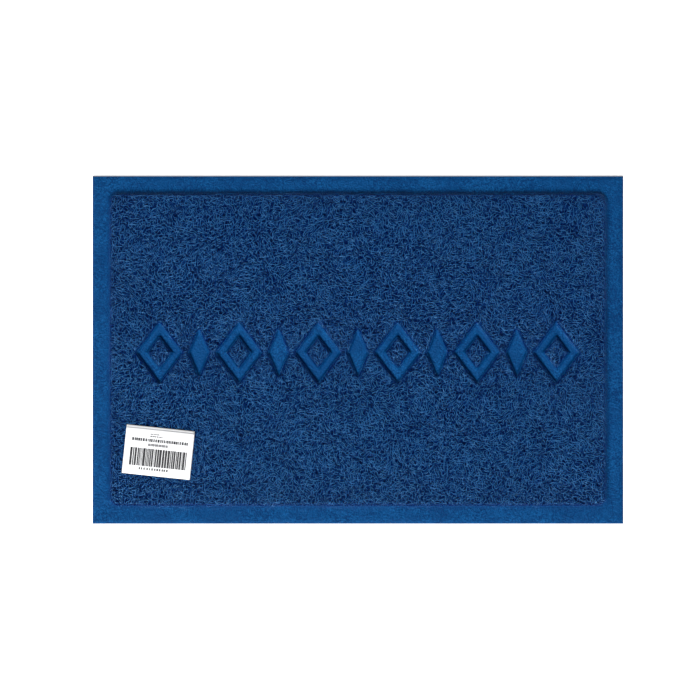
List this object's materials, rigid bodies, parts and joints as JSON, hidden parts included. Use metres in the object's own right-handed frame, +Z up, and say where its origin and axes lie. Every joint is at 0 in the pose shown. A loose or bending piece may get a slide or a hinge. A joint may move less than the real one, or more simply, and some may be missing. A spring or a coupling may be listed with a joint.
{
  "type": "door mat",
  "caption": "Rectangular coil-pile door mat with a flat fused border, a row of pressed lozenge ornaments and a folded paper label.",
  "frame": {"origin": "middle of the mat's underside, on the floor", "axes": "+X along the long side, +Y across the mat towards its back edge, +Z up out of the pile"},
  "size_m": [0.6, 0.393, 0.0114],
  "materials": {
    "backing_vinyl": "matte flexible vinyl film with a fine non-slip texture",
    "coil_vinyl": "satin extruded vinyl filament in loose random loops",
    "fused_vinyl": "satin heat-pressed vinyl with a fine grain of melted loops",
    "label_card": "matte white printed card"
  },
  "bodies": {
    "root": {"backing_film": "backing_vinyl", "coil_pile": "coil_vinyl", "fused_border": "fused_vinyl", "ornament_01": "fused_vinyl", "ornament_02": "fused_vinyl", "ornament_03": "fused_vinyl", "ornament_04": "fused_vinyl", "ornament_05": "fused_vinyl", "ornament_06": "fused_vinyl", "ornament_07": "fused_vinyl", "ornament_08": "fused_vinyl", "ornament_09": "fused_vinyl", "ornament_10": "fused_vinyl", "ornament_11": "fused_vinyl", "folded_label": "label_card"}
  },
  "joints": []
}
